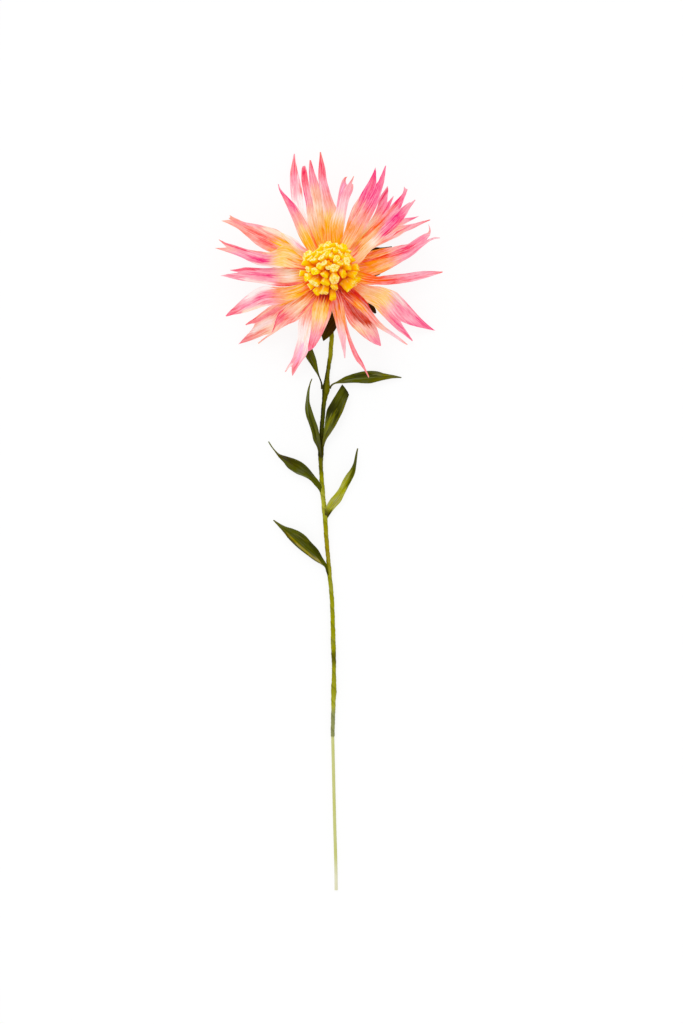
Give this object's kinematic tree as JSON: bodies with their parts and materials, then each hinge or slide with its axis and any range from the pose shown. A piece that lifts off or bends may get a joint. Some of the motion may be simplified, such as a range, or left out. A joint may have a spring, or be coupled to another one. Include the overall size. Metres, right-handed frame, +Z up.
{
  "type": "dahlia flower",
  "caption": "Hand-made crepe paper dahlia on a wrapped wire stem: spreading dyed petals, a yellow floret disc, dark sepals and slim green leaves, lying on its back.",
  "frame": {"origin": "on the surface it lies on, under the middle of its bounding box", "axes": "+Y along the stem towards the flower head, +Z up, the way the flower faces"},
  "size_m": [0.1332, 0.4334, 0.0367],
  "materials": {
    "petal_paper": "hand dyed crepe, yellow foot to pink tip",
    "disc_paper": "yellow crepe",
    "core_paper": "wound crepe strip",
    "sepal_paper": "dark brown-green crepe",
    "leaf_paper": "olive crepe",
    "stem_tape": "waxed wrapping tape",
    "green_wire": "satin green lacquer"
  },
  "bodies": {
    "root": {"flower_core": "core_paper", "disc_florets": "disc_paper", "petal_01": "petal_paper", "petal_02": "petal_paper", "petal_03": "petal_paper", "petal_04": "petal_paper", "petal_05": "petal_paper", "petal_06": "petal_paper", "petal_07": "petal_paper", "petal_08": "petal_paper", "petal_09": "petal_paper", "petal_10": "petal_paper", "petal_11": "petal_paper", "petal_12": "petal_paper", "petal_13": "petal_paper", "petal_14": "petal_paper", "petal_15": "petal_paper", "petal_16": "petal_paper", "petal_17": "petal_paper", "petal_18": "petal_paper", "petal_19": "petal_paper", "petal_20": "petal_paper", "petal_21": "petal_paper", "petal_22": "petal_paper", "petal_23": "petal_paper", "petal_24": "petal_paper", "petal_25": "petal_paper", "petal_26": "petal_paper", "petal_27": "petal_paper", "sepal_01": "sepal_paper", "sepal_02": "sepal_paper", "sepal_03": "sepal_paper", "sepal_04": "sepal_paper", "sepal_05": "sepal_paper", "leaf_01": "leaf_paper", "leaf_02": "leaf_paper", "leaf_03": "leaf_paper", "leaf_04": "leaf_paper", "leaf_05": "leaf_paper", "leaf_06": "leaf_paper", "leaf_07": "leaf_paper", "stem": "stem_tape", "stem_wire": "green_wire"}
  },
  "joints": []
}
